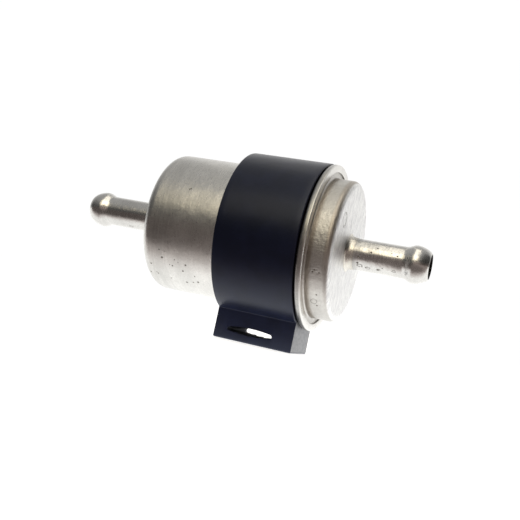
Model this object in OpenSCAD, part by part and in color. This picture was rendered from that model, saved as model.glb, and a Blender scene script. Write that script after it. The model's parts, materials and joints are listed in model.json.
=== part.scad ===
// Inline fuel filter for a small engine: a drawn metal canister with a crimped end cap and two
// beaded hose stubs, held in a rubber mounting sleeve that has a slotted foot.
// The canister lies along X, with the inlet at -X and the outlet at +X.
// The origin is the middle of the foot's underside.

/* [Hose stubs] */
// Outer diameter of both stubs
stub_d = 8; // [7:0.5:9]
// Bore of both stubs
stub_bore_d = 5.6; // [4.6:0.2:6]
// How far the hose bead stands proud of the stub
bead_h = 0.8; // [0.4:0.1:1.2]
// Distance from a stub's tip back to where its bead starts
bead_len = 6.5; // [5:0.1:8]
// Distance over which the bead rises to its full height
bead_rise = 2.8; // [1.5:0.1:3.2]
// Length of the inlet stub outside the canister
inlet_reach = 24.8; // [18:0.1:32]
// Length of the outlet stub outside the end cap
outlet_reach = 20.6; // [15:0.1:30]
// How far the brazed fillet at the foot of each stub climbs up the face
braze_leg = 1; // [0.6:0.1:1.5]
// How far that fillet runs along the stub
braze_len = 2; // [1:0.1:3]

/* [Canister] */
// Outer diameter of the canister
can_d = 36.5; // [34:0.5:44]
// Length from the inlet end to the back of the crimped flange
can_len = 42.5; // [42:0.1:60]
// Outer radius of the shoulder at the inlet end
shoulder_r = 2.8; // [1.5:0.1:4]
// Thickness of the metal sheet
sheet = 0.45; // [0.4:0.05:0.6]

/* [End cap and crimp] */
// How far the crimped flange stands out from the canister
flange_out = 3.2; // [2.8:0.1:4]
// Diameter of the end cap's drum
cap_d = 36; // [34:0.5:36.5]
// Rise of the end cap above the crimp
cap_rise = 5.7; // [4:0.05:8]
// Outer radius of the end cap's edge
cap_edge_r = 1.3; // [1:0.1:2.5]
// Thickness of the gasket inside the crimp
gasket_t = 0.3; // [0.2:0.05:0.5]

/* [Mounting sleeve] */
// Length of the sleeve and its foot along the canister
sleeve_len = 20.8; // [18:0.1:24]
// Wall thickness of the sleeve
sleeve_t = 3.25; // [2.5:0.05:3.4]
// Gap between the sleeve and the crimped flange
sleeve_gap = 0.25; // [0.2:0.05:1.5]
// Height of the canister's axis above the foot's underside
axis_h = 27.7; // [26:0.1:34]
// Depth of the foot across the canister
foot_depth = 15.4; // [12:0.1:18]
// Length of the slot that takes the bracket's tongue
slot_len = 12; // [8:0.5:14]
// How far the slot's middle lies from the foot's middle, along the canister
slot_shift = -1; // [-1.5:0.1:1.5]
// Height of that slot in the middle
slot_h = 2; // [1.6:0.1:2.6]
// Height of that slot at its ends
slot_end_h = 1.2; // [0.8:0.1:1.6]
// Thickness of rubber under the slot
slot_floor = 1.8; // [1.4:0.1:2.4]
// Number of gripping ribs on the slot's floor
slot_ribs = 4; // [2:1:6]

/* [Filter element] */
// Outer diameter of the pleated paper
pleat_d = 31; // [28:0.5:31.5]
// Inner diameter of the pleated paper
pleat_bore_d = 15; // [14.5:0.1:16]
// Number of pleats
pleat_count = 30; // [24:1:32]
// Thickness of the paper
paper_t = 0.4; // [0.3:0.05:0.45]
// Travel of the element against its spring
element_travel = 1.2; // [0.5:0.1:1.5]
// Wire diameter of the element's spring
wire_d = 1; // [0.8:0.1:1.1]

/* [Hidden] */
$fn = 96;

// Radii
stub_r = stub_d / 2;
bore_r = stub_bore_d / 2;
lip_r = bore_r + 0.2;
can_r = can_d / 2;
rim_r = can_r + flange_out;
cap_r = cap_d / 2;
sleeve_r = can_r + sleeve_t;
pleat_r = pleat_d / 2;
pleat_bore_r = pleat_bore_d / 2;

// Clearances
press_gap = 0.02; // between pieces that are pressed or brazed together
slide_gap = 0.05; // between pieces that move on each other

// Bends in the sheet metal
flare_r = 0.3;
rim_edge_r = 0.5;
lip_edge_r = 0.3;
cap_bend_r = 0.5;
lip_width = 1.7;

// Places along the axis
sleeve_x = -sleeve_len / 2;
crimp_x = sleeve_len / 2 + sleeve_gap;
can_x = crimp_x - can_len;
crimp_t = 3 * sheet + gasket_t;
crimp_front = crimp_x + crimp_t;
cap_back = crimp_x + sheet + gasket_t;
cap_x = crimp_front + cap_rise;
inlet_tip = can_x - inlet_reach;
outlet_tip = cap_x + outlet_reach;
stub_inside = 1.5; // how far each stub reaches past the sheet's inner face

// The stack of pieces from the end cap's inner face back to the inlet
seal_t = 1;
plate_t = 0.6;
disc_t = 0.8;
disc_rim = 2.2;
potting_t = 1.4;
seal_front = cap_x - sheet - slide_gap;
seal_back = seal_front - seal_t;
plate_back = seal_back - plate_t;
outlet_disc_back = plate_back - disc_t;
paper_x1 = outlet_disc_back - potting_t;
seat_t = 0.5;
turns = 5; // turns of the spring, of which the first and last lie flat
closed_pitch = wire_d + 0.03;
spring_room = turns * closed_pitch + element_travel + 0.55;
seat_back = can_x + sheet + spring_room;
seat_front = seat_back + seat_t;
inlet_disc_front = seat_front + disc_t;
paper_x0 = inlet_disc_front + potting_t;

// Radii of the element's pieces
disc_r = pleat_r + 0.4;
core_r = pleat_bore_r - 0.5;
core_t = 0.5;
mesh_t = 0.25;
hub_r = 5.2;
hub_bore_r = stub_r + 0.3;

// A run of points along an arc
function arc(centre, r, from, to, steps = 10) =
    [for (i = [0:steps]) let (a = from + (to - from) * i / steps) centre + r * [cos(a), sin(a)]];

// Turns an outline of [radius, place along X] points round the canister's axis
module around_axis(outline) {
    translate([0, 0, axis_h])
    rotate([0, 90, 0])
    rotate_extrude()
    polygon(outline);
}

// A plain ring between two radii and two places along the axis
module ring(r0, r1, x0, x1) {
    around_axis([[r0, x0], [r1, x0], [r1, x1], [r0, x1]]);
}

// ---- Housing ----

module canister_shell() {
    shoulder = [can_r - shoulder_r, can_x + shoulder_r];
    flare = [can_r + flare_r, crimp_x - flare_r];
    rim_back = [rim_r - rim_edge_r, crimp_x + rim_edge_r];
    rim_front = [rim_r - lip_edge_r, crimp_front - lip_edge_r];
    color("silver")
    around_axis(concat(
        [[stub_r + press_gap, can_x]],
        arc(shoulder, shoulder_r, -90, 0),
        arc(flare, flare_r, 180, 90),
        arc(rim_back, rim_edge_r, -90, 0, 6),
        arc(rim_front, lip_edge_r, 0, 90, 6),
        [[rim_r - lip_width, crimp_front], [rim_r - lip_width, crimp_front - sheet]],
        [[rim_r - sheet, crimp_front - sheet], [rim_r - sheet, crimp_x + sheet]],
        arc(flare, flare_r + sheet, 90, 180),
        arc(shoulder, shoulder_r - sheet, 0, -90),
        [[stub_r + press_gap, can_x + sheet]]
    ));
}

module end_cap() {
    bend = [cap_r + cap_bend_r, cap_back + sheet + cap_bend_r];
    edge = [cap_r - cap_edge_r, cap_x - cap_edge_r];
    flange_r = rim_r - sheet - press_gap;
    color("lightgray")
    around_axis(concat(
        [[flange_r, cap_back], [flange_r, cap_back + sheet]],
        arc(bend, cap_bend_r, -90, -180, 6),
        arc(edge, cap_edge_r, 0, 90),
        [[stub_r + press_gap, cap_x], [stub_r + press_gap, cap_x - sheet]],
        arc(edge, cap_edge_r - sheet, 90, 0),
        arc(bend, cap_bend_r + sheet, -180, -90, 6)
    ));
}

module seam_gasket() {
    color("dimgray")
    ring(can_r + flare_r, rim_r - sheet - press_gap, crimp_x + sheet, cap_back);
}

// ---- Hose stubs ----

// A beaded stub that points along +X
module stub(inner_x, tip_x) {
    bead_top = tip_x - bead_len + bead_rise;
    rise = [for (i = [0:8]) let (t = i / 8)
        [stub_r + bead_h * (1 - cos(180 * t)) / 2, bead_top - bead_rise * (1 - t)]];
    nose = [for (i = [1:10]) let (a = 9 * i)
        [lip_r + (stub_r + bead_h - lip_r) * pow(cos(a), 1.2),
         bead_top + (tip_x - bead_top) * pow(sin(a), 1.2)]];
    around_axis(concat(
        [[bore_r, inner_x], [stub_r, inner_x]],
        rise,
        nose,
        [[bore_r, tip_x]]
    ));
}

// The fillet of braze round a stub that leaves a face along +X
module braze_fillet(face_x) {
    edge = 0.1;
    curve = [for (i = [0:8]) let (a = 90 * i / 8)
        [stub_r + braze_leg - (braze_leg - edge) * sin(a), face_x + braze_len * (1 - cos(a))]];
    around_axis(concat(
        [[stub_r + press_gap, face_x]],
        curve,
        [[stub_r + press_gap, face_x + braze_len]]
    ));
}

module inlet_tube() {
    color("darkgray")
    mirror([1, 0, 0])
    stub(-can_x - sheet - stub_inside, -inlet_tip);
}

module inlet_braze_ring() {
    color("gray")
    mirror([1, 0, 0])
    braze_fillet(-can_x);
}

module outlet_tube() {
    color("darkgray")
    stub(cap_x - sheet - stub_inside, outlet_tip);
}

module outlet_braze_ring() {
    color("gray")
    braze_fillet(cap_x);
}

// ---- Mounting sleeve ----

// The concave corner between the round sleeve and the +Y side of the foot
module foot_fillet(r) {
    y = foot_depth / 2 + r;
    z = -sqrt(pow(sleeve_r + r, 2) - y * y);
    touch = [y, z] * sleeve_r / (sleeve_r + r);
    difference() {
        polygon([[y - r - 1, z], [y, z], touch, touch * 0.95, [y - r - 1, z + 2]]);
        translate([y, z]) circle(r);
    }
}

// The sleeve's outline across the canister, seen along +X from the axis
module sleeve_outline() {
    corner = 0.5;
    half = foot_depth / 2;
    difference() {
        union() {
            circle(sleeve_r);
            polygon(concat(
                arc([corner - half, corner - axis_h], corner, -180, -90, 4),
                arc([half - corner, corner - axis_h], corner, -90, 0, 4),
                [[half, -can_r], [-half, -can_r]]
            ));
            foot_fillet(0.4);
            mirror([1, 0]) foot_fillet(0.4);
        }
        circle(can_r + slide_gap);
    }
}

// The slot across the foot, highest in the middle, with round ribs on its floor
module foot_slot() {
    rib_r = 0.25;
    end_r = slot_end_h / 2;
    straight = slot_len - slot_end_h;
    bulge = (slot_h - slot_end_h) / 2;
    deep = foot_depth + 2;
    // Half the slot's height at a place from -1 to 1 along it
    function half_height(t) = end_r + bulge * (1 - t * t);
    top = [for (i = [-8:8]) let (t = i / 8) [straight / 2 * t, half_height(t)]];
    floor_line = [for (i = [-8:8]) let (t = -i / 8) [straight / 2 * t, -half_height(t)]];
    translate([slot_shift, deep / 2, slot_floor + slot_h / 2])
    rotate([90, 0, 0])
    linear_extrude(deep)
    difference() {
        union() {
            polygon(concat(top, floor_line));
            translate([-straight / 2, 0]) circle(end_r);
            translate([straight / 2, 0]) circle(end_r);
        }
        for (i = [1:slot_ribs])
            let (t = 2 * i / (slot_ribs + 1) - 1)
            translate([straight / 2 * t, -half_height(t)]) circle(rib_r);
    }
}

module mounting_sleeve() {
    color([0.08, 0.08, 0.1])
    difference() {
        translate([sleeve_x, 0, axis_h])
        rotate([90, 0, 90])
        linear_extrude(sleeve_len)
        sleeve_outline();
        foot_slot();
    }
}

// ---- Filter element ----

// One side of the folded paper, as flat-topped waves between two radii
function pleat_side(r_out, r_in, half_out, half_in) = [
    for (k = [0:pleat_count - 1]) let (pitch = 360 / pleat_count, at = k * pitch)
    for (p = [
        [r_out, at - asin(half_out / r_out)],
        [r_out, at + asin(half_out / r_out)],
        [r_in, at + pitch / 2 - asin(half_in / r_in)],
        [r_in, at + pitch / 2 + asin(half_in / r_in)]
    ])
    p[0] * [cos(p[1]), sin(p[1])]
];

fold_half = 0.55; // half width of a pleat at its outer fold
valley_half = 0.2; // half width of the gap at the inner fold

module pleated_element() {
    outer = pleat_side(pleat_r, pleat_bore_r + paper_t, fold_half, valley_half);
    inner = pleat_side(pleat_r - paper_t, pleat_bore_r, fold_half - paper_t, valley_half + paper_t);
    color("khaki")
    translate([paper_x0, 0, axis_h])
    rotate([0, 90, 0])
    difference() {
        linear_extrude(paper_x1 - paper_x0) polygon(outer);
        translate([0, 0, -1]) linear_extrude(paper_x1 - paper_x0 + 2) polygon(inner);
    }
}

// The folded strip that joins the two ends of the paper, over the outer fold of one pleat
module pleat_seam_clip() {
    strip = 0.25;
    leg = 2.2;
    half = fold_half + 0.05;
    top = pleat_r + press_gap + strip;
    length = paper_x1 - paper_x0;
    color("lightsteelblue")
    translate([paper_x0, 0, axis_h])
    mirror([0, 0, 1])
    difference() {
        translate([0, -half - strip, top - leg]) cube([length, 2 * (half + strip), leg]);
        translate([-1, -half, top - leg - 1]) cube([length + 2, 2 * half, leg + 1 - strip]);
    }
}

module core_tube() {
    rows = 7;
    around = 6;
    hole_r = 1.6;
    pitch = (paper_x1 - paper_x0) / rows;
    color("gainsboro")
    difference() {
        ring(core_r - core_t, core_r, paper_x0, paper_x1);
        for (row = [0:rows - 1])
            for (k = [0:around - 1])
            translate([paper_x0 + pitch * (row + 0.5), 0, axis_h])
            rotate([(k + (row % 2) / 2) * 360 / around, 0, 0])
            cylinder(r = hole_r, h = core_r + 1, $fn = 24);
    }
}

module strainer_sleeve() {
    outer_r = core_r - core_t - press_gap;
    color("lightyellow")
    ring(outer_r - mesh_t, outer_r, paper_x0, paper_x1);
}

module inlet_end_disc() {
    fins = 4;
    fin_t = 1.2;
    fin_reach = can_r - sheet - 0.3;
    color("ivory")
    union() {
        around_axis([
            [0, seat_front], [disc_r, seat_front], [disc_r, seat_front + disc_rim],
            [disc_r - 0.35, seat_front + disc_rim], [disc_r - 0.35, inlet_disc_front],
            [0, inlet_disc_front]
        ]);
        for (k = [0:fins - 1])
            translate([seat_front, 0, axis_h])
            rotate([k * 360 / fins + 45, 0, 0])
            translate([0, -fin_t / 2, disc_r - 0.3])
            cube([disc_rim, fin_t, fin_reach - disc_r + 0.3]);
    }
}

module outlet_end_disc() {
    rim_back = plate_back - disc_rim;
    color("ivory")
    around_axis([
        [hub_bore_r, rim_back], [hub_r, rim_back], [hub_r, outlet_disc_back],
        [disc_r - 0.35, outlet_disc_back], [disc_r - 0.35, rim_back],
        [disc_r, rim_back], [disc_r, plate_back], [hub_bore_r, plate_back]
    ]);
}

module inlet_potting() {
    color("orange")
    around_axis([
        [0, inlet_disc_front], [disc_r - 0.35 - press_gap, inlet_disc_front],
        [disc_r - 0.35 - press_gap, paper_x0], [0, paper_x0]
    ]);
}

module outlet_potting() {
    color("orange")
    ring(hub_r + press_gap, disc_r - 0.35 - press_gap, paper_x1, outlet_disc_back);
}

module support_plate() {
    color("darkgray")
    ring(hub_bore_r, disc_r - 1.5, plate_back, seal_back);
}

module outlet_gasket() {
    color("black")
    ring(hub_bore_r, 8.4, seal_back, seal_front);
}

// ---- Spring ----

module spring_seat() {
    guide_r = 5.6;
    seat_r = 8.4;
    guide_h = 1.2;
    color("darkgray")
    around_axis([
        [guide_r - seat_t, seat_back - guide_h], [guide_r, seat_back - guide_h],
        [guide_r, seat_back], [seat_r, seat_back], [seat_r, seat_front],
        [guide_r - seat_t, seat_front]
    ]);
}

turn_steps = 20;
coil_r = 6.7;
spring_len = spring_room - 2 * slide_gap;
open_pitch = (spring_len - wire_d - 2 * closed_pitch) / (turns - 2);

// How far the wire's centre has climbed after a number of turns
function climb(n) = closed_pitch * min(n, 1)
    + open_pitch * min(max(n - 1, 0), turns - 2)
    + closed_pitch * max(n - (turns - 1), 0);

module element_spring() {
    sides = 8;
    rings = turns * turn_steps;
    start_x = can_x + sheet + slide_gap + wire_d / 2;
    points = [for (i = [0:rings], s = [0:sides - 1])
        let (a = 360 * i / turn_steps, b = 360 * s / sides, r = coil_r + wire_d / 2 * cos(b))
        [start_x + climb(i / turn_steps) + wire_d / 2 * sin(b), r * cos(a), r * sin(a)]];
    walls = [for (i = [0:rings - 1], s = [0:sides - 1])
        let (n = (s + 1) % sides, p = i * sides)
        [p + s, p + n, p + sides + n, p + sides + s]];
    start = [for (s = [0:sides - 1]) sides - 1 - s];
    end = [for (s = [0:sides - 1]) rings * sides + s];
    color("slategray")
    translate([0, 0, axis_h])
    polyhedron(points, concat(walls, [start], [end]));
}

canister_shell();
end_cap();
seam_gasket();
inlet_tube();
inlet_braze_ring();
outlet_tube();
outlet_braze_ring();
mounting_sleeve();
pleated_element();
pleat_seam_clip();
core_tube();
strainer_sleeve();
inlet_end_disc();
outlet_end_disc();
inlet_potting();
outlet_potting();
support_plate();
outlet_gasket();
spring_seat();
element_spring();
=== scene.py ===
"""The looks of an inline fuel filter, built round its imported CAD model."""

import json
import math
import random

import bmesh
import bpy
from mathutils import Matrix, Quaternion, Vector, noise


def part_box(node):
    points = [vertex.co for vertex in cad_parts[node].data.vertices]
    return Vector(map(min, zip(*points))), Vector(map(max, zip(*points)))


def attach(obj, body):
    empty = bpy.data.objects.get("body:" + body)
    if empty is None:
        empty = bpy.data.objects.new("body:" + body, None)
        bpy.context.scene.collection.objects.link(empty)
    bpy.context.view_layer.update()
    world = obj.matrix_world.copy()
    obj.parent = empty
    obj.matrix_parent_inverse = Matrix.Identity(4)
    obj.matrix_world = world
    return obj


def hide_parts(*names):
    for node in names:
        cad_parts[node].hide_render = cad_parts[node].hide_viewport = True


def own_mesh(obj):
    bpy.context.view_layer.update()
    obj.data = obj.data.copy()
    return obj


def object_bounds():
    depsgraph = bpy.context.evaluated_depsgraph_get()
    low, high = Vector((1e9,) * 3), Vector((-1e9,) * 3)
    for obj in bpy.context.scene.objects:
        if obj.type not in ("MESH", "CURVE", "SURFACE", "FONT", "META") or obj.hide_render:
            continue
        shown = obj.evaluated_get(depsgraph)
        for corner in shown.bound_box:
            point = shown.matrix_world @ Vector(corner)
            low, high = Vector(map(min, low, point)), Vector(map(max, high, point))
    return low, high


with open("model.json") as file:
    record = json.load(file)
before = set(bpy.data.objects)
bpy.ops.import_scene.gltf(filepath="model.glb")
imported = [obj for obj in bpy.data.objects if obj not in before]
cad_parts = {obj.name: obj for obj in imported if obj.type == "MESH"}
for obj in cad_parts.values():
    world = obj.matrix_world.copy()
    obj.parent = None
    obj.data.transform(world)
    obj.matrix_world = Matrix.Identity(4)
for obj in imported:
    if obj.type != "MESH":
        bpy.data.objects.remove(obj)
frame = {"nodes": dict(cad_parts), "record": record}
cad_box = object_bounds()

MM = 0.001


# ---- Sizes, read from the frame ----

def radius_between(node, x0, x1):
    """Largest distance from the canister's axis on a CAD node between two places along X."""
    found = [math.hypot(v.co.y, v.co.z - AXIS_Z) for v in frame["nodes"][node].data.vertices
             if x0 <= v.co.x <= x1]
    return max(found)


def mount(name):
    return next(m for m in frame["record"]["mounts"] if m["name"] == name)


STUB_LOW, STUB_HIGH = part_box("outlet_tube")
AXIS_Z = (STUB_LOW.z + STUB_HIGH.z) / 2
CAN_LOW, CAN_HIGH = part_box("canister_shell")
CAP_LOW, CAP_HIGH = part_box("end_cap")
SLEEVE_LOW, SLEEVE_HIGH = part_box("mounting_sleeve")
GASKET_LOW, GASKET_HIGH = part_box("seam_gasket")

STUB_R = mount("outlet_stub")["dims"]["r_mm"] * MM
BORE_R = mount("outlet_bore")["dims"]["r_mm"] * MM
BEAD_R = (STUB_HIGH.z - STUB_LOW.z) / 2
RIM_R = (CAN_HIGH.y - CAN_LOW.y) / 2
CAN_R = radius_between("canister_shell", CAN_LOW.x, CAN_LOW.x + 4 * MM)
CAP_R = radius_between("end_cap", CAP_HIGH.x - 4 * MM, CAP_HIGH.x)
SLEEVE_R = SLEEVE_HIGH.z - AXIS_Z
FOOT_HALF = 7.7 * MM

SHEET = 0.45 * MM
SHOULDER_R = 2.8 * MM
CRIMP_X = GASKET_LOW.x - SHEET
CRIMP_FRONT = CAN_HIGH.x
LIP_WIDTH = 1.7 * MM
FLARE_R = 0.3 * MM
CAP_EDGE_R = 1.6 * MM
CAP_BEND_R = 0.5 * MM
TOOL_MARK_R = 13.0 * MM
TOOL_MARK_TURN = 150


# ---- Mesh helpers ----

def finish_mesh(name, bm, body, nodes, materials, sharp=38):
    """Turns a bmesh into a smooth piece that rides on a body and stands for CAD nodes."""
    bmesh.ops.recalc_face_normals(bm, faces=bm.faces)
    mesh = bpy.data.meshes.new(name)
    bm.to_mesh(mesh)
    bm.free()
    for material in materials:
        mesh.materials.append(material)
    mesh.shade_smooth()
    mesh.set_sharp_from_angle(angle=math.radians(sharp))
    piece = bpy.data.objects.new(name, mesh)
    bpy.context.scene.collection.objects.link(piece)
    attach(piece, body)
    if nodes:
        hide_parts(*nodes)
    return piece


def arc(cx, cr, radius, start, end, steps=14):
    """Points (x, r) along an arc, with angles in degrees from +r towards +x."""
    points = []
    for i in range(steps + 1):
        a = math.radians(start + (end - start) * i / steps)
        points.append((cx + radius * math.sin(a), cr + radius * math.cos(a)))
    return points


def spread(points, gap):
    """Adds points along the straight stretches of an outline, no further apart than gap."""
    out = []
    for (x0, r0), (x1, r1) in zip(points, points[1:] + points[:1]):
        steps = max(1, math.ceil(math.hypot(x1 - x0, r1 - r0) / gap))
        for i in range(steps):
            out.append((x0 + (x1 - x0) * i / steps, r0 + (r1 - r0) * i / steps))
    return out


def lathe(outline, segments, shift=None):
    """A closed ring of the outline turned round the canister's axis.

    shift(x, r, angle) gives how far each point moves along X and away from the axis.
    """
    bm = bmesh.new()
    rings = []
    for s in range(segments):
        angle = 2 * math.pi * s / segments
        ring = []
        for x, r in outline:
            dx, dr = shift(x, r, angle) if shift else (0, 0)
            y = (r + dr) * math.cos(angle)
            z = (r + dr) * math.sin(angle)
            ring.append(bm.verts.new((x + dx, y, AXIS_Z + z)))
        rings.append(ring)
    count = len(outline)
    for s, ring in enumerate(rings):
        after = rings[(s + 1) % segments]
        for i in range(count):
            j = (i + 1) % count
            bm.faces.new((ring[i], ring[j], after[j], after[i]))
    return bm


def hollow(x, r, angle, centre_x, centre_r, centre_angle, size, depth):
    """Depth of a round dent whose middle is at a place along X, a radius and an angle."""
    turn = (angle - centre_angle + math.pi) % (2 * math.pi) - math.pi
    away = math.sqrt((x - centre_x) ** 2 + (r - centre_r) ** 2 + (r * turn) ** 2) / size
    return depth * math.exp(-away * away * 2)


def on_axis_ring(x, radius, below):
    """A place in mm, by its X, its distance from the axis and its angle below the front line."""
    a = math.radians(below)
    return x, -radius * math.cos(a), AXIS_Z / MM - radius * math.sin(a)


# ---- Node helpers ----

def feed(tree, socket, value):
    """Sets a socket to a number or a colour, or links it to another socket."""
    if isinstance(value, (int, float)):
        socket.default_value = value
    elif isinstance(value, tuple):
        socket.default_value = (*value, 1)
    else:
        tree.links.new(value, socket)


def smooth(tree, value, low, high, start, end):
    """A smooth step of a value, from start to end."""
    node = tree.nodes.new("ShaderNodeMapRange")
    node.interpolation_type = "SMOOTHSTEP"
    tree.links.new(value, node.inputs["Value"])
    node.inputs["From Min"].default_value = low
    node.inputs["From Max"].default_value = high
    node.inputs["To Min"].default_value = start
    node.inputs["To Max"].default_value = end
    return node.outputs[0]


def sums(tree, operation, a, b):
    """A maths node on numbers or sockets."""
    node = tree.nodes.new("ShaderNodeMath")
    node.operation = operation
    feed(tree, node.inputs[0], a)
    feed(tree, node.inputs[1], b)
    return node.outputs[0]


def tinted(tree, share, first, second):
    """A colour between two, by a share."""
    node = tree.nodes.new("ShaderNodeMix")
    node.data_type = "RGBA"
    tree.links.new(share, node.inputs["Factor"])
    feed(tree, node.inputs[6], first)
    feed(tree, node.inputs[7], second)
    return node.outputs[2]


# ---- Material helpers ----

class Nodes:
    """A short way to write a material's node tree. Lengths in textures are in millimetres."""

    def __init__(self, name):
        self.material = bpy.data.materials.new(name)
        self.material.use_nodes = True
        self.tree = self.material.node_tree
        self.shader = self.tree.nodes["Principled BSDF"]
        place = self.tree.nodes.new("ShaderNodeTexCoord")
        self.place = self.maths_vector("SCALE", place.outputs["Object"], scale=1 / MM)

    def link(self, source, target):
        self.tree.links.new(source, target)

    def maths_vector(self, operation, a, b=None, scale=None):
        node = self.tree.nodes.new("ShaderNodeVectorMath")
        node.operation = operation
        self.link(a, node.inputs[0])
        if b is not None:
            node.inputs[1].default_value = b
        if scale is not None:
            node.inputs["Scale"].default_value = scale
        return node.outputs[0]

    def stretched(self, x, y, z, offset=(0, 0, 0)):
        moved = self.maths_vector("ADD", self.place, offset)
        return self.maths_vector("MULTIPLY", moved, (x, y, z))

    def noise(self, vector, scale, detail=2.0, rough=0.5):
        node = self.tree.nodes.new("ShaderNodeTexNoise")
        node.inputs["Scale"].default_value = scale
        node.inputs["Detail"].default_value = detail
        node.inputs["Roughness"].default_value = rough
        self.link(vector, node.inputs["Vector"])
        return node.outputs[0]

    def cells(self, vector, scale, output="Distance"):
        node = self.tree.nodes.new("ShaderNodeTexVoronoi")
        node.inputs["Scale"].default_value = scale
        self.link(vector, node.inputs["Vector"])
        return node.outputs[output]

    def maths(self, operation, a, b=0.0):
        return sums(self.tree, operation, a, b)

    def ramp(self, value, low, high, start=0.0, end=1.0):
        return smooth(self.tree, value, low, high, start, end)

    def mix(self, share, a, b):
        return tinted(self.tree, share, a, b)

    def bump(self, height, distance_mm, normal=None):
        node = self.tree.nodes.new("ShaderNodeBump")
        node.inputs["Distance"].default_value = distance_mm * MM
        self.link(height, node.inputs["Height"])
        if normal is not None:
            self.link(normal, node.inputs["Normal"])
        return node.outputs[0]

    def set(self, color, roughness, normal, metallic=0.0):
        """Gives the shader its colour, roughness and normal, as numbers or sockets."""
        feed(self.tree, self.shader.inputs["Base Color"], color)
        feed(self.tree, self.shader.inputs["Roughness"], roughness)
        feed(self.tree, self.shader.inputs["Normal"], normal)
        self.shader.inputs["Metallic"].default_value = metallic

    def along(self, axis):
        """The place along X, Y or Z (axis 0, 1 or 2), in millimetres."""
        node = self.tree.nodes.new("ShaderNodeSeparateXYZ")
        self.link(self.place, node.inputs[0])
        return node.outputs[axis]

    def from_axis(self):
        """The distance from the canister's axis, in millimetres."""
        node = self.tree.nodes.new("ShaderNodeVectorMath")
        node.operation = "LENGTH"
        moved = self.maths_vector("ADD", self.place, (0, 0, -AXIS_Z / MM))
        self.link(self.maths_vector("MULTIPLY", moved, (0, 1, 1)), node.inputs[0])
        return node.outputs["Value"]

    def spots(self, places, ring=0.0, wobble=0.5, shrink=1.0):
        """1 inside each (place, size) spot, or on its rim where ring is the rim's width.

        wobble makes them uneven, and shrink below 1 makes them longer along X.
        """
        uneven = self.maths("MULTIPLY", self.noise(self.place, 2.3, 1.0), wobble)
        squeezed = self.stretched(shrink, 1, 1)
        total = None
        for place, size in places:
            node = self.tree.nodes.new("ShaderNodeVectorMath")
            node.operation = "DISTANCE"
            self.link(squeezed, node.inputs[0])
            node.inputs[1].default_value = (place[0] * shrink, place[1], place[2])
            away = self.maths("ADD", self.maths("DIVIDE", node.outputs["Value"], size), uneven)
            if ring:
                away = self.maths("ABSOLUTE", self.maths("SUBTRACT", away, 1.1))
                spot = self.ramp(away, ring, ring * 0.3)
            else:
                spot = self.ramp(away, 1.35, 0.75)
            total = spot if total is None else self.maths("MAXIMUM", total, spot)
        return total

    def pits(self, spacing, size, share):
        """Small round pits: 1 inside a pit. share is how many of the cells have one."""
        wobble = self.noise(self.place, 1.7, 1.0)
        near = self.cells(self.place, 1 / spacing)
        chosen = self.cells(self.place, 1 / spacing, output="Color")
        here = self.maths("GREATER_THAN", chosen, 1 - share)
        edge = self.maths("ADD", near, self.maths("MULTIPLY", wobble, 0.12))
        inside = self.ramp(edge, size, size * 0.6, 0.0, 1.0)
        return self.maths("MULTIPLY", inside, here)


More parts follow.
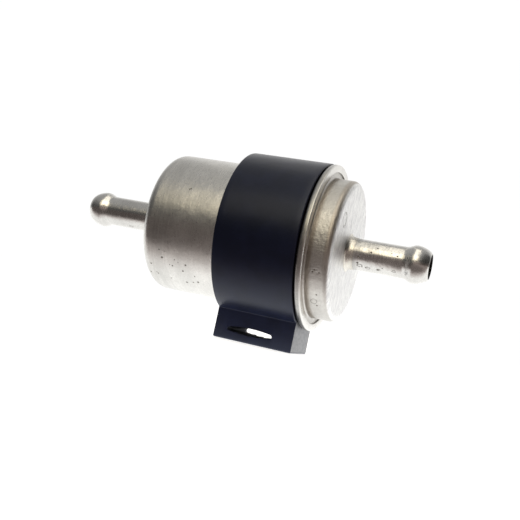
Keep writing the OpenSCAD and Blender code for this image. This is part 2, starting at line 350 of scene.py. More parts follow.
def metal(name, tint, dark, roughness, lines, pit_spacing, pit_size, pit_share, grain="round",
          marks=None, drawn=None, face_x=None, fold_x=None, bore=False):
    """Satin plated sheet metal: turned or drawn lines, cloudy tint, small dark pits and marks.

    marks(n) gives more dark marks on these Nodes. The dark streaks grow stronger between the two
    places of drawn. Beyond face_x the metal is a duller, paler pressed face with fine scratches
    across it; the rounded edge round the face, more towards the top, and the bend behind the face
    are darkened with painted shade. Beyond fold_x the metal is painted darker, in mottled patches,
    up to the lip. bore paints the inside of a stub near black, as painted shade.
    """
    n = Nodes(name)
    if grain == "round":
        fine = n.noise(n.stretched(5, 0.5, 0.5), 1.0, 4.0, 0.7)
        broad = n.noise(n.stretched(0.9, 0.05, 0.05, (3, 0, 0)), 1.0, 3.0, 0.6)
    else:
        fine = n.noise(n.stretched(0.25, 3.0, 3.0), 1.0, 4.0, 0.7)
        broad = n.noise(n.stretched(0.08, 0.8, 0.8, (3, 0, 0)), 1.0, 3.0, 0.6)
    cloud = n.noise(n.place, 0.13, 3.0, 0.55)
    mottle = n.noise(n.place, 1.6, 4.0, 0.7)
    mark = n.maths("MAXIMUM", n.pits(pit_spacing, pit_size, pit_share),
                   n.pits(pit_spacing * 0.45, pit_size * 0.8, pit_share * 0.6))
    if marks:
        mark = n.maths("MAXIMUM", mark, marks(n))
    shade = n.ramp(n.maths("ADD", cloud, n.maths("MULTIPLY", mottle, 0.6)), 0.5, 1.1)
    much = n.ramp(n.along(0), *drawn, 0.12, 0.36) if drawn else 0.16
    streak = n.maths("MULTIPLY", n.ramp(broad, 0.56, 0.40), much)
    fleck = n.maths("MULTIPLY", n.ramp(n.noise(n.place, 3.0, 2.0), 0.52, 0.66), 0.45)
    colour = n.mix(shade, tuple(c * 0.8 for c in tint), tint)
    colour = n.mix(streak, colour, tuple(c * 0.62 for c in tint))
    colour = n.mix(fleck, colour, tuple(c * 0.7 for c in tint))
    rough = n.ramp(fine, 0.3, 0.75, roughness - 0.05, roughness + 0.08)
    height = n.maths("ADD", n.maths("MULTIPLY", fine, 0.6), n.maths("MULTIPLY", broad, 0.4))
    surface = n.bump(height, 0.02 * lines)
    surface = n.bump(mottle, 0.04 * lines, normal=surface)
    surface = n.bump(n.noise(n.place, 0.45, 2.0), 0.07, normal=surface)
    if face_x is not None:
        # Painted shade: the rounded edge round the face is darkened, more towards the top, and so
        # is the bend behind the face.
        upper = n.ramp(n.along(2), 17.0, 27.0, 0.0, 0.6)
        edge = n.maths("MULTIPLY", n.ramp(n.along(0), face_x - 1.9, face_x - 1.1), upper)
        bend = n.maths("MULTIPLY", n.ramp(n.along(0), face_x - 3.9, face_x - 4.9),
                       n.ramp(n.along(0), face_x - 5.7, face_x - 5.4))
        painted_edge_and_bend_shade = n.maths("MAXIMUM", edge, n.maths("MULTIPLY", bend, 0.75))
        colour = n.mix(painted_edge_and_bend_shade, colour, tuple(c * t for c, t in zip(tint, (0.55, 0.48, 0.42))))
        face = n.ramp(n.along(0), face_x - 0.4, face_x)
        scratch = n.noise(n.stretched(0.2, 3.2, 0.35), 1.0, 4.0, 0.75)
        rub = n.mix(n.ramp(scratch, 0.38, 0.60), (0.64, 0.64, 0.65), (0.92, 0.92, 0.91))
        colour = n.mix(face, colour, rub)
        rough = n.maths("ADD", rough, n.maths("MULTIPLY", face, 0.05))
        surface = n.bump(n.maths("MULTIPLY", scratch, face), 0.12, normal=surface)
    if fold_x is not None:
        # The rim beyond fold_x is painted darker, in mottled patches; the lip's front keeps the
        # plain tint.
        darker_rim = n.maths("MULTIPLY", n.ramp(n.along(0), fold_x, fold_x + 0.3),
                       n.ramp(mottle, 0.2, 0.6, 0.6, 1))
        lip = n.ramp(n.along(0), fold_x + 1.2, fold_x + 1.5)
        colour = n.mix(darker_rim, colour, tuple(c * 0.5 for c in tint))
        colour = n.mix(lip, colour, tint)
    if bore:
        # Painted shade: the inside of the bore is painted near black.
        inside = n.ramp(n.from_axis(), 3.3, 2.95)
        colour = n.mix(inside, colour, (0.02, 0.018, 0.016))
        rough = n.maths("ADD", rough, n.maths("MULTIPLY", inside, 0.4))
    n.set(
        color=n.mix(n.maths("MULTIPLY", mark, 0.88), colour, dark),
        metallic=1.0,
        roughness=n.maths("ADD", rough, n.maths("MULTIPLY", mark, 0.2)),
        normal=n.bump(n.maths("SUBTRACT", 1.0, mark), 0.07, normal=surface),
    )
    return n.material


def scattered(seed, count, along, below, sizes, radius):
    """Places and sizes of some marks, drawn at random within three ranges on a round part.

    The ranges are the place along X, the degrees below the front line, and the size in mm. Each
    mark has its own stretch of X, so that two rarely touch.
    """
    draw = random.Random(seed)
    stretch = (along[1] - along[0]) / count
    marks = []
    for i in range(count):
        x = along[0] + stretch * (i + draw.random())
        marks.append((on_axis_ring(x, radius, draw.uniform(*below)), draw.uniform(*sizes)))
    return marks


def can_marks(n):
    """Dried drops on the lower front of the can and two specks on its upper front."""
    radius = CAN_R / MM
    drops = scattered(1, 18, (-30, -16), (30, 60), (0.16, 0.40), radius)
    specks = scattered(2, 2, (-24, -18), (-28, -22), (0.24, 0.30), radius)
    return n.spots(drops + specks)


def cap_marks(n):
    """A round tool mark on the pressed cap's face, and a knock and specks on its wall."""
    turn = math.radians(TOOL_MARK_TURN)
    tool_mark = (CAP_HIGH.x / MM, TOOL_MARK_R / MM * math.cos(turn),
                 (AXIS_Z + TOOL_MARK_R * math.sin(turn)) / MM)
    knock = scattered(3, 1, (14, 16), (30, 70), (0.8, 1.1), CAP_R / MM)
    rings = n.spots([(tool_mark, 2.0)] + knock, ring=0.16)
    dots = n.spots(scattered(4, 5, (14, 16), (20, 65), (0.22, 0.32), CAP_R / MM))
    return n.maths("MAXIMUM", n.maths("MULTIPLY", rings, 0.6), dots)


def stub_marks(n):
    """Pits and drop marks on the stubs, most of them on the underside."""
    radius = STUB_R / MM
    pits = scattered(5, 10, (19, 31), (-30, 60), (0.14, 0.34), radius)
    pits += scattered(6, 3, (33, 35), (30, 50), (0.35, 0.50), radius)
    drops = scattered(7, 4, (21, 32), (45, 60), (0.40, 0.65), radius)
    drops += scattered(8, 2, (-44, -37), (55, 65), (0.50, 0.55), radius)
    rings = n.spots(drops, ring=0.2, wobble=0.9, shrink=0.6)
    return n.maths("MAXIMUM", n.spots(pits), n.maths("MULTIPLY", rings, 0.65))


def rubber(name, base, roughness, cut=False):
    """Smooth satin rubber. The foot's part of a cut end is paler, with fine saw lines: partly the
    grey of cut rubber and partly painted light. The ring's part keeps the dark base, as painted
    shade beside the flange.
    """
    n = Nodes(name)
    fine = n.noise(n.place, 6.0, 3.0, 0.6)
    broad = n.noise(n.place, 0.22, 2.0, 0.5)
    dust = n.pits(1.3, 0.09, 0.10)
    pale = tuple(c * 1.4 + 0.0008 for c in base)
    colour = n.mix(n.ramp(broad, 0.35, 0.7), base, pale)
    if cut:
        saw = n.noise(n.stretched(0.4, 0.5, 1.2), 1.0, 3.0, 0.6)
        cut_grey_and_painted_light = n.mix(n.ramp(saw, 0.3, 0.7), (0.13, 0.13, 0.14), (0.20, 0.20, 0.21))
        # Painted light and shade: the pale cut grey goes only on the foot; the ring's part of the
        # cut end stays dark, as painted shade beside the flange.
        colour = n.mix(n.ramp(n.along(2), 8.6, 7.2), colour, cut_grey_and_painted_light)
        surface = n.bump(saw, 0.02)
    else:
        surface = n.bump(broad, 0.05)
    n.shader.inputs["Specular IOR Level"].default_value = 0.38
    n.shader.inputs["Specular Tint"].default_value = (0.80, 0.86, 1.0, 1)
    n.set(
        color=n.mix(n.maths("MULTIPLY", dust, 0.4), colour, (0.10, 0.10, 0.10)),
        roughness=n.ramp(fine, 0.2, 0.8, roughness - 0.05, roughness + 0.07),
        normal=n.bump(fine, 0.006, normal=surface),
    )
    return n.material


def paper_material():
    n = Nodes("filter_paper")
    fibre = n.noise(n.stretched(0.8, 3.0, 3.0), 1.0, 5.0, 0.7)
    blot = n.noise(n.place, 0.3, 2.0)
    colour = n.mix(n.ramp(fibre, 0.3, 0.7), (0.60, 0.43, 0.20), (0.80, 0.64, 0.36))
    n.set(color=n.mix(n.ramp(blot, 0.45, 0.7), colour, (0.66, 0.50, 0.26)), roughness=0.85,
          normal=n.bump(fibre, 0.05))
    return n.material


def moulded(name, base, roughness):
    n = Nodes(name)
    fine = n.noise(n.place, 4.0, 4.0, 0.6)
    blot = n.noise(n.place, 0.25, 2.0)
    colour = n.mix(n.ramp(blot, 0.3, 0.7), base, tuple(c * 0.85 for c in base))
    n.set(color=colour, roughness=n.ramp(fine, 0.2, 0.8, roughness - 0.06, roughness + 0.08),
          normal=n.bump(fine, 0.015))
    return n.material


def mesh_material():
    """Woven strainer cloth: one set of fine threads across X."""
    n = Nodes("strainer_mesh")
    along = n.maths("SINE", n.maths("MULTIPLY", n.along(0), 18.0))
    shade = n.ramp(along, -0.4, 0.6)
    n.set(color=n.mix(shade, (0.42, 0.40, 0.34), (0.80, 0.78, 0.70)), roughness=0.5,
          normal=n.bump(along, 0.04))
    return n.material


TIN = metal("tin_plate", (0.68, 0.67, 0.645), (0.16, 0.15, 0.13), roughness=0.31, lines=0.6,
            pit_spacing=2.4, pit_size=0.10, pit_share=0.08, marks=can_marks, drawn=(-20, -27),
            fold_x=CRIMP_X / MM)
CAP_TIN = metal("cap_plate", (0.61, 0.595, 0.565), (0.20, 0.18, 0.16), roughness=0.37, lines=2.6,
                pit_spacing=2.2, pit_size=0.12, pit_share=0.16, grain="long", marks=cap_marks,
                face_x=CAP_HIGH.x / MM - 0.3)
STUB_TIN = metal("stub_plate", (0.65, 0.64, 0.62), (0.10, 0.085, 0.07), roughness=0.22, lines=0.25,
                 pit_spacing=1.2, pit_size=0.12, pit_share=0.2, marks=stub_marks, bore=True)
BRAZE = metal("braze", (0.72, 0.69, 0.63), (0.15, 0.12, 0.09), roughness=0.28, lines=1.4,
              pit_spacing=0.9, pit_size=0.2, pit_share=0.3)
INNER_STEEL = metal("inner_steel", (0.58, 0.58, 0.58), (0.2, 0.2, 0.2), roughness=0.3, lines=1.0,
                    pit_spacing=3.0, pit_size=0.08, pit_share=0.05, grain="long")
SPRING_STEEL = metal("spring_steel", (0.34, 0.35, 0.37), (0.08, 0.08, 0.08), roughness=0.3,
                     lines=0.5, pit_spacing=2.0, pit_size=0.1, pit_share=0.1, grain="long")
RUBBER = rubber("sleeve_rubber", (0.0024, 0.0040, 0.0165), 0.32)
RUBBER_CUT = rubber("sleeve_cut_end", (0.004, 0.004, 0.006), 0.34, cut=True)
# Painted light: the inside of the slot is a paler rubber than the sleeve, to lift the shade in it.
SLOT_RUBBER_PAINTED_LIGHT = rubber("slot_rubber_painted_light", (0.016, 0.019, 0.034), 0.7)
SEAL_RUBBER = rubber("seal_rubber", (0.02, 0.02, 0.02), 0.5)
PAPER = paper_material()
END_DISC = moulded("end_disc", (0.72, 0.68, 0.56), 0.45)
POTTING = moulded("potting", (0.62, 0.34, 0.08), 0.2)
STRAINER = mesh_material()

CAD_MATERIALS = {
    "seam_gasket": SEAL_RUBBER,
    "outlet_gasket": SEAL_RUBBER,
    "pleated_element": PAPER,
    "pleat_seam_clip": INNER_STEEL,
    "core_tube": INNER_STEEL,
    "support_plate": INNER_STEEL,
    "spring_seat": INNER_STEEL,
    "strainer_sleeve": STRAINER,
    "inlet_end_disc": END_DISC,
    "outlet_end_disc": END_DISC,
    "inlet_potting": POTTING,
    "outlet_potting": POTTING,
}
for node_name, material in CAD_MATERIALS.items():
    node = frame["nodes"][node_name]
    node.data.materials.clear()
    node.data.materials.append(material)
    node.data.shade_smooth()
    node.data.set_sharp_from_angle(angle=math.radians(30))


# ---- Canister ----

def canister_outline():
    """The drawn can and the lip that folds over the cap's flange, as (x, r) points."""
    shoulder = (CAN_LOW.x + SHOULDER_R, CAN_R - SHOULDER_R)
    flare = (CRIMP_X - FLARE_R, CAN_R + FLARE_R)
    edge = 0.8 * MM
    lip_edge = 0.3 * MM
    inner = RIM_R - SHEET
    points = [(CAN_LOW.x, STUB_R + 0.02 * MM)]
    points += arc(*shoulder, SHOULDER_R, -90, 0, 24)
    points += arc(*flare, FLARE_R, 180, 90, 10)
    points += arc(CRIMP_X + edge, RIM_R - edge, edge, -90, 0, 10)
    points += arc(CRIMP_FRONT - lip_edge, RIM_R - lip_edge, lip_edge, 0, 90, 8)
    points += arc(CRIMP_FRONT - 0.15 * MM, RIM_R - LIP_WIDTH, 0.15 * MM, 90, 180, 4)
    points += [(CRIMP_FRONT - SHEET, RIM_R - LIP_WIDTH), (CRIMP_FRONT - SHEET, inner)]
    points += [(CRIMP_X + SHEET, inner)]
    points += arc(*flare, FLARE_R + SHEET, 90, 180, 8)
    points += arc(*shoulder, SHOULDER_R - SHEET, 0, -90, 10)
    points += [(CAN_LOW.x + SHEET, STUB_R + 0.02 * MM)]
    return points


CAN_DENTS = [
    # (place along X, angle in degrees, size, depth) on the side of the can, all in mm
    (-27.0, 140, 2.5, 0.05), (-22.5, 205, 3.5, 0.04), (-17.0, 168, 4.0, 0.03),
    (-25.0, 60, 3.0, 0.05), (-15.0, 330, 3.5, 0.04), (-20.0, 270, 4.0, 0.04),
]


def canister_shift(x, r, angle):
    """Slight waves from drawing and folding the sheet, always inwards."""
    around = Vector((math.cos(angle), math.sin(angle), 0))
    wave = noise.noise(around * 1.3 + Vector((0, 0, x / MM * 0.05)))
    dr = -(0.5 + 0.5 * wave) * 0.03 * MM
    for place, turn, size, depth in CAN_DENTS:
        dr -= hollow(x, r, angle, place * MM, CAN_R, math.radians(turn), size * MM, depth * MM)
    if x > CRIMP_X:
        ripple = noise.noise(around * 5.0 + Vector((0, 0, 9.0)))
        dr -= (0.5 + 0.5 * ripple) * 0.05 * MM
    return 0, dr


finish_mesh("canister", lathe(spread(canister_outline(), 0.7 * MM), 360, canister_shift),
            "canister", ["canister_shell"], [TIN])


# ---- End cap ----

def cap_outline():
    bend = (CAP_LOW.x + SHEET + CAP_BEND_R, CAP_R + CAP_BEND_R)
    edge = (CAP_HIGH.x - CAP_EDGE_R, CAP_R - CAP_EDGE_R)
    flange = (CAP_HIGH.y - CAP_LOW.y) / 2
    points = [(CAP_LOW.x, flange), (CAP_LOW.x + SHEET, flange)]
    points += arc(*bend, CAP_BEND_R, 270, 180, 10)
    points += arc(*edge, CAP_EDGE_R, 0, 90, 20)
    points += [(CAP_HIGH.x, STUB_R + 0.02 * MM), (CAP_HIGH.x - SHEET, STUB_R + 0.02 * MM)]
    points += arc(*edge, CAP_EDGE_R - SHEET, 90, 0, 8)
    points += arc(*bend, CAP_BEND_R + SHEET, 180, 270, 6)
    return points


CAP_MARKS = [
    # (place back from the face, radius, angle in degrees, size, depth), in mm
    (0.0, TOOL_MARK_R / MM, TOOL_MARK_TURN, 1.5, 0.16), (2.5, 18.0, 205, 0.8, 0.12),
    (2.5, 18.0, 230, 1.0, 0.14), (0.3, 16.5, 300, 1.4, 0.10), (0.0, 10.5, 40, 2.0, 0.10),
]


def cap_shift(x, r, angle):
    """Slight waves in the pressed face, and a few small knocks."""
    around = Vector((math.cos(angle) * r, math.sin(angle) * r, 0)) / MM
    wave = 0.5 + 0.5 * noise.noise(around * 0.16)
    dx = -wave * 0.05 * MM
    dr = -wave * 0.03 * MM
    for back, place, turn, size, depth in CAP_MARKS:
        deep = hollow(x, r, angle, CAP_HIGH.x - back * MM, place * MM, math.radians(turn),
                      size * MM, depth * MM)
        dx -= deep
        dr -= deep * 0.5
    return dx, dr


finish_mesh("end_cap_pressed", lathe(spread(cap_outline(), 0.5 * MM), 360, cap_shift),
            "canister", ["end_cap"], [CAP_TIN])


# ---- Hose stubs and their brazing ----

BEAD_LEN = 6.5 * MM
BEAD_RISE = 2.8 * MM


def stub_outline(inner_x, tip_x):
    """A beaded stub from its inner end to its tip, as (x, r) points. It may point either way."""
    way = 1 if tip_x > inner_x else -1
    bead_top = tip_x - way * (BEAD_LEN - BEAD_RISE)
    lip_r = BORE_R + 0.2 * MM
    points = [(inner_x, BORE_R), (inner_x, STUB_R)]
    for i in range(17):
        t = i / 16
        points.append((bead_top - way * BEAD_RISE * (1 - t),
                       STUB_R + (BEAD_R - STUB_R) * (1 - math.cos(math.pi * t)) / 2))
    for i in range(1, 25):
        a = math.radians(i * 90 / 24)
        points.append((bead_top + (tip_x - bead_top) * math.sin(a) ** 1.2,
                       lip_r + (BEAD_R - lip_r) * max(math.cos(a), 0) ** 1.2))
    points.append((tip_x, BORE_R + 0.05 * MM))
    points.append((tip_x - way * 0.1 * MM, BORE_R))
    return points


def stub_shift(x, r, angle):
    around = Vector((math.cos(angle), math.sin(angle), x / MM * 0.12))
    return 0, -(0.5 + 0.5 * noise.noise(around * 1.5)) * 0.03 * MM if r > STUB_R * 0.9 else 0


def make_stub(name, node, inner_x, tip_x):
    outline = spread(stub_outline(inner_x, tip_x), 0.5 * MM)
    finish_mesh(name, lathe(outline, 160, stub_shift), "canister", [node], [STUB_TIN])


def make_braze(name, node, face_x, way):
    """A slightly uneven fillet of braze."""
    leg = 1.0 * MM
    run = 2.0 * MM
    points = [(face_x, STUB_R + 0.02 * MM)]
    for i in range(17):
        a = math.radians(90 * i / 16)
        points.append((face_x + way * run * (1 - math.cos(a)),
                       STUB_R + leg * (1 - math.sin(a) * 0.92)))
    points.append((face_x + way * run, STUB_R + 0.02 * MM))

    def uneven(x, r, angle):
        around = Vector((math.cos(angle), math.sin(angle), face_x / MM))
        out = max(0.0, r - STUB_R - 0.1 * MM)
        return 0, -out * 0.3 * (0.5 + 0.5 * noise.noise(around * 2.2))

    finish_mesh(name, lathe(spread(points, 0.3 * MM), 160, uneven), "canister", [node],
                [BRAZE])


INLET_LOW, INLET_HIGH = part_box("inlet_tube")
make_stub("outlet_stub", "outlet_tube", STUB_LOW.x, STUB_HIGH.x)
make_stub("inlet_stub", "inlet_tube", INLET_HIGH.x, INLET_LOW.x)
make_braze("outlet_braze", "outlet_braze_ring", CAP_HIGH.x, 1)
make_braze("inlet_braze", "inlet_braze_ring", CAN_LOW.x, -1)


# ---- Mounting sleeve ----

SLOT_LEN = mount("foot_slot")["dims"]["slot_length_mm"] * MM
SLOT_MIDDLE = Vector(mount("foot_slot")["pos_m"])
SLOT_HEIGHT = 2.0 * MM
SLOT_END_HEIGHT = 1.2 * MM
SLOT_RIBS = 4
FOOT_FILLET = 0.2 * MM
SLEEVE_BORE = CAN_R + 0.05 * MM


def sleeve_outline():
    """The sleeve and foot seen along the axis, as (y, z) points measured from the axis."""
    corner = 0.5 * MM
    side = FOOT_HALF + FOOT_FILLET
    down = -math.sqrt((SLEEVE_R + FOOT_FILLET) ** 2 - side ** 2)
    start = math.atan2(down, side)
    points = []
    turn = math.pi - 2 * start
    for i in range(241):
        a = start + turn * i / 240
        points.append((SLEEVE_R * math.cos(a), SLEEVE_R * math.sin(a)))
    begin = math.atan2(-down, side)
    for i in range(1, 9):
        a = begin * (1 - i / 8)
        points.append((-side + FOOT_FILLET * math.cos(a), down + FOOT_FILLET * math.sin(a)))
    for i in range(7):
        a = math.radians(180 + 90 * i / 6)
        points.append((-FOOT_HALF + corner + corner * math.cos(a),
                       -AXIS_Z + corner + corner * math.sin(a)))
    for i in range(7):
        a = math.radians(270 + 90 * i / 6)
        points.append((FOOT_HALF - corner + corner * math.cos(a),
                       -AXIS_Z + corner + corner * math.sin(a)))
    for i in range(8):
        a = math.pi - begin * i / 8
        points.append((side + FOOT_FILLET * math.cos(a), down + FOOT_FILLET * math.sin(a)))
    return points


def offset_outline(points, inset):
    """The closed outline moved inwards along its own normals."""
    out = []
    count = len(points)
    for i, (y, z) in enumerate(points):
        (y0, z0), (y1, z1) = points[i - 1], points[(i + 1) % count]
        dy, dz = y1 - y0, z1 - z0
        size = math.hypot(dy, dz)
        out.append((y - inset * dz / size, z + inset * dy / size))
    return out


def loft(bm, loops):
    """Walls between loops of the same number of points."""
    made = [[bm.verts.new(p) for p in loop] for loop in loops]
    for low, high in zip(made, made[1:]):
        for i in range(len(low)):
            j = (i + 1) % len(low)
            bm.faces.new((low[i], low[j], high[j], high[i]))
    return made


def sleeve_body():
    round_r = 0.3 * MM
    inside = 0.01 * MM
    outline = sleeve_outline()
    x0, x1 = SLEEVE_LOW.x, SLEEVE_HIGH.x
    start = []
    for i in range(5):
        a = math.radians(90 * i / 4)
        start.append((x0 + round_r * (1 - math.cos(a)), inside + round_r * (1 - math.sin(a))))
    middle = [(x0 + (x1 - x0) * i / 12, inside) for i in range(1, 12)]
    stations = start + middle + [(x0 + x1 - x, inset) for x, inset in reversed(start)]
    bm = bmesh.new()
    outer = loft(bm, [
        [(x, y, AXIS_Z + z) for y, z in offset_outline(outline, inset)] for x, inset in stations])
    bore = [[(x, (SLEEVE_BORE + inset) * math.cos(2 * math.pi * i / 240),
              AXIS_Z + (SLEEVE_BORE + inset) * math.sin(2 * math.pi * i / 240))
             for i in range(240)] for x, inset in stations]
    inner = loft(bm, bore)
    for end in (0, -1):
        edges = []
        for loop in (outer[end], inner[end]):
            for i, v in enumerate(loop):
                edges.append(bm.edges.get((v, loop[(i + 1) % len(loop)])))
        faces = bmesh.ops.triangle_fill(bm, edges=edges, use_beauty=True)["geom"]
        for f in faces:
            if isinstance(f, bmesh.types.BMFace):
                f.material_index = 1
    return bm


def slot_cutter():
    """A bar, highest in the middle, with ribs cut out of its underside."""
    end_r = SLOT_END_HEIGHT / 2
    bulge = (SLOT_HEIGHT - SLOT_END_HEIGHT) / 2
    half = (SLOT_LEN - SLOT_END_HEIGHT) / 2
    rib = 0.25 * MM

    def height(t):
        return end_r + bulge * (1 - t * t)

    points = []
    for i in range(1, 12):
        a = math.radians(-90 + 15 * i)
        points.append((half + end_r * math.cos(a), end_r * math.sin(a)))
    for i in range(41):
        t = 1 - i / 20
        points.append((half * t, height(t)))
    for i in range(1, 12):
        a = math.radians(90 + 15 * i)
        points.append((-half + end_r * math.cos(a), end_r * math.sin(a)))
    centres = [half * (2 * k / (SLOT_RIBS + 1) - 1) for k in range(1, SLOT_RIBS + 1)]
    for i in range(161):
        x = half * (i / 80 - 1)
        z = -height(x / half) + 0.12 * MM * (0.5 + 0.5 * noise.noise(Vector((x / MM * 2.1, 0, 0))))
        for centre in centres:
            near = rib * rib - (x - centre) ** 2
            if near > 0:
                z = max(z, -height(centre / half) + math.sqrt(near))
        points.append((x, z))
    deep = FOOT_HALF + 1 * MM
    loops = [[(SLOT_MIDDLE.x + px, y, SLOT_MIDDLE.z + pz) for px, pz in points]
             for y in (-deep, deep)]
    bm = bmesh.new()
    made = loft(bm, loops)
    bm.faces.new(made[0])
    bm.faces.new(made[-1])
    bmesh.ops.recalc_face_normals(bm, faces=bm.faces)
    for face in bm.faces:
        face.material_index = 2
    return bm


def make_sleeve():
    sleeve = finish_mesh("rubber_sleeve", sleeve_body(), "sleeve", ["mounting_sleeve"],
                         [RUBBER, RUBBER_CUT, SLOT_RUBBER_PAINTED_LIGHT])
    cutter_mesh = bpy.data.meshes.new("slot_cutter")
    bm = slot_cutter()
    bm.to_mesh(cutter_mesh)
    bm.free()
    cutter = bpy.data.objects.new("slot_cutter", cutter_mesh)
    bpy.context.scene.collection.objects.link(cutter)
    cut = sleeve.modifiers.new("slot", "BOOLEAN")
    cut.operation = "DIFFERENCE"
    cut.solver = "EXACT"
    cut.object = cutter
    bpy.context.view_layer.update()
    made = bpy.data.meshes.new_from_object(
        sleeve.evaluated_get(bpy.context.evaluated_depsgraph_get()))
    sleeve.modifiers.clear()
    sleeve.data = made
    made.name = "rubber_sleeve"
    made.shade_smooth()
    made.set_sharp_from_angle(angle=math.radians(38))
    bpy.data.objects.remove(cutter)


make_sleeve()


# ---- Spring ----

def make_spring():
    """The element's coil spring, at one length; in the filter it shortens as the element is pushed
    back.
    """
    low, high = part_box("element_spring")
    wire_r = 0.5 * MM
    coil_r = (high.y - low.y) / 2 - wire_r
    turns, steps, sides = 5, 48, 12
    closed = 1.03 * MM
    rise = (high.x - low.x - 2 * wire_r - 2 * closed) / (turns - 2)
    bm = bmesh.new()
    loops = []
    for i in range(turns * steps + 1):
        n = i / steps
        x = low.x + wire_r + closed * min(n, 1) + rise * min(max(n - 1, 0), turns - 2)
        x += closed * max(n - (turns - 1), 0)
        a = 2 * math.pi * n
        loop = []
        for s in range(sides):
            b = 2 * math.pi * s / sides
            r = coil_r + wire_r * math.cos(b)
            loop.append((x + wire_r * math.sin(b), r * math.sin(-a), AXIS_Z - r * math.cos(a)))
        loops.append(loop)
    made = loft(bm, loops)
    bm.faces.new(made[0])
    bm.faces.new(made[-1])
    spring = finish_mesh("coil_spring", bm, "canister", ["element_spring"],
                         [SPRING_STEEL], 60)
    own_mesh(spring)


make_spring()


# ---- Floor, light and camera ----

def plain_material(name, strength, base):
    """A matt material with a white glow of its own."""
    material = bpy.data.materials.new(name)
    material.use_nodes = True
    shader = material.node_tree.nodes["Principled BSDF"]
    shader.inputs["Base Color"].default_value = (*base, 1)
    shader.inputs["Roughness"].default_value = 0.9
    shader.inputs["Emission Color"].default_value = (1, 1, 1, 1)
    shader.inputs["Emission Strength"].default_value = strength
    return material


def show_to(obj, camera=False, diffuse=False, glossy=False):
    """Limits which rays see a stage piece. None throws a shadow."""
    obj.visible_camera = camera
    obj.visible_diffuse = diffuse
    obj.visible_glossy = glossy
    obj.visible_transmission = False
    obj.visible_shadow = False


STAGE_HALF = 6.0


def plane(name, z, material):
    """A large flat square at a height."""
    mesh = bpy.data.meshes.new(name)
    half = STAGE_HALF
    verts = [(-half, -half, z), (half, -half, z), (half, half, z), (-half, half, z)]
    mesh.from_pydata(verts, [], [(0, 1, 2, 3)])
    mesh.materials.append(material)
    obj = bpy.data.objects.new(name, mesh)
    bpy.context.scene.collection.objects.link(obj)
    return obj


FLOOR_Z = cad_box[0].z - 0.05 * MM


def make_floor():
    """A pale floor for the camera, and an uneven glow under it that lights the object."""
    white = plain_material("floor_white", 0.72, (0.85, 0.85, 0.85))
    show_to(plane("floor", FLOOR_Z, white), camera=True)
    sweep = bpy.data.materials.new("floor_sweep")
    sweep.use_nodes = True
    tree = sweep.node_tree
    shader = tree.nodes["Principled BSDF"]
    place = tree.nodes.new("ShaderNodeTexCoord")
    split = tree.nodes.new("ShaderNodeSeparateXYZ")
    tree.links.new(place.outputs["Object"], split.inputs[0])
    x, y = split.outputs[0], split.outputs[1]
    for low, high, start, end in ((-66, -54, -5, 0), (-6, 10, 0.5, 4), (16, 28, 0, -15)):
        shift = smooth(tree, x, low * MM, high * MM, start * MM, end * MM)
        y = sums(tree, "ADD", y, shift)
    near = smooth(tree, y, -44 * MM, -6 * MM, 0, 1)
    glow = sums(tree, "POWER", near, 1.35)
    glow = sums(tree, "MULTIPLY", glow, 1.3)
    for low, high, start, end in ((-45, -20, 0.1, 0.165), (8, 22, 0, 0.02), (50, 150, 0, 0.15)):
        glow = sums(tree, "ADD", glow, smooth(tree, x, low * MM, high * MM, start, end))
    shader.inputs["Base Color"].default_value = (0, 0, 0, 1)
    shader.inputs["Specular IOR Level"].default_value = 0.0
    colour = tinted(tree, near, (1.12, 0.94, 0.88), (1.0, 1.0, 0.985))
    tree.links.new(colour, shader.inputs["Emission Color"])
    tree.links.new(glow, shader.inputs["Emission Strength"])
    show_to(plane("floor_glow", FLOOR_Z - 0.1 * MM, sweep), diffuse=True, glossy=True)


def make_world():
    """A soft studio: bright behind, mid grey above, dark low down in front of the object."""
    world = bpy.data.worlds.new("studio")
    bpy.context.scene.world = world
    world.use_nodes = True
    tree = world.node_tree
    place = tree.nodes.new("ShaderNodeTexCoord")
    split = tree.nodes.new("ShaderNodeSeparateXYZ")
    tree.links.new(place.outputs["Generated"], split.inputs[0])

    def curve(value, low, high, start, end):
        return smooth(tree, value, low, high, start, end)

    def maths(operation, first, second):
        return sums(tree, operation, first, second)

    x, y, z = split.outputs
    front = maths("MULTIPLY", curve(z, 0.1, 0.9, 0.09, 0.48), curve(x, 0.3, 0.6, 1.0, 0.22))
    low = maths("MULTIPLY", curve(x, -0.32, -0.08, 0.0, 1.0), curve(z, 0.35, 0.1, 0.0, 1.0))
    front = maths("MULTIPLY", front, maths("ADD", maths("MULTIPLY", low, 2.2), 1.0))
    back = maths("ADD", 0.5, curve(y, 0.25, 0.95, 0.0, 0.66))
    back = maths("MULTIPLY", back, curve(x, 0.5, 0.9, 1.0, 0.6))
    behind = maths("SUBTRACT", y, curve(x, 0.45, 0.8, 0.0, 0.3))
    share = curve(behind, -0.15, 0.4, 0.0, 1.0)
    strength = maths("ADD", front, maths("MULTIPLY", share, maths("SUBTRACT", back, front)))
    brown = maths("MULTIPLY", maths("POWER", low, 1.5), maths("SUBTRACT", 1.0, share))
    background = tree.nodes["Background"]
    colour = tinted(tree, brown, (1.0, 0.99, 0.97), (1.15, 0.90, 0.80))
    tree.links.new(colour, background.inputs["Color"])
    tree.links.new(strength, background.inputs["Strength"])


def make_backdrop():
    """A white surround that only the camera sees."""
    bm = bmesh.new()
    bmesh.ops.create_uvsphere(bm, u_segments=48, v_segments=24, radius=5.5)
    mesh = bpy.data.meshes.new("backdrop")
    bm.to_mesh(mesh)
    bm.free()
    mesh.materials.append(plain_material("backdrop_white", 1.0, (0, 0, 0)))
    dome = bpy.data.objects.new("backdrop", mesh)
    bpy.context.scene.collection.objects.link(dome)
    show_to(dome, camera=True)


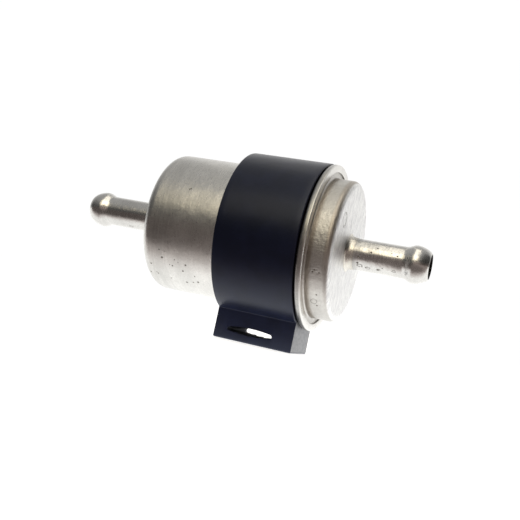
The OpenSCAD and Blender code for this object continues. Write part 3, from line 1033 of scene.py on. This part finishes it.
def softbox(name, place, target, width, height, watts, colour, turn):
    """A rectangular lamp that faces a target, turned by some degrees about its own middle."""
    data = bpy.data.lights.new(name, "AREA")
    data.shape = "RECTANGLE"
    data.size = width
    data.size_y = height
    data.energy = watts
    data.color = colour
    lamp = bpy.data.objects.new(name, data)
    bpy.context.scene.collection.objects.link(lamp)
    lamp.location = place
    lamp.rotation_mode = "QUATERNION"
    facing = (Vector(target) - Vector(place)).to_track_quat("-Z", "Y")
    lamp.rotation_quaternion = facing @ Quaternion((0, 0, 1), math.radians(turn))
    lamp.visible_camera = False


CAMERA_PLACE = Vector((59.0, -183.32, 8.67)) * MM
CAMERA_AZIMUTH = math.radians(19.20)
CAMERA_ELEVATION = math.radians(-3.84)
CAMERA_ROLL = math.radians(12.06)
CAMERA_LENS_MM = 51.34
CAMERA_SENSOR_MM = 36


def make_camera():
    """The camera of the reference view, by its direction, roll and place."""
    azimuth, elevation, roll = CAMERA_AZIMUTH, CAMERA_ELEVATION, CAMERA_ROLL
    back = Vector((math.sin(azimuth) * math.cos(elevation),
                   -math.cos(azimuth) * math.cos(elevation), math.sin(elevation)))
    level = Vector((math.cos(azimuth), math.sin(azimuth), 0))
    upright = back.cross(level)
    right = level * math.cos(roll) + upright * math.sin(roll)
    up = back.cross(right)
    data = bpy.data.cameras.new("camera")
    data.sensor_width = CAMERA_SENSOR_MM
    data.lens = CAMERA_LENS_MM
    data.clip_start = 0.005
    data.clip_end = 50
    camera = bpy.data.objects.new("camera", data)
    bpy.context.scene.collection.objects.link(camera)
    matrix = camera.matrix_world.copy()
    for row in range(3):
        matrix[row][0] = right[row]
        matrix[row][1] = up[row]
        matrix[row][2] = back[row]
        matrix[row][3] = CAMERA_PLACE[row]
    camera.matrix_world = matrix
    bpy.context.scene.camera = camera


make_floor()
make_world()
make_backdrop()
middle = (0, 0, AXIS_Z)
softbox("wide", (-0.040, -0.499, 0.357), middle, 0.50, 0.355, 0.52, (1.0, 0.88, 0.62), -6)
softbox("key", (0.024, -0.259, 0.455), middle, 0.217, 0.81, 0.82, (1.0, 0.93, 0.78), -6)
softbox("strip", (-0.115, 0.135, 0.493), middle, 0.07, 0.19, 0.02, (1.0, 0.93, 0.78), 0)
make_camera()
bpy.context.scene.view_settings.view_transform = "Standard"
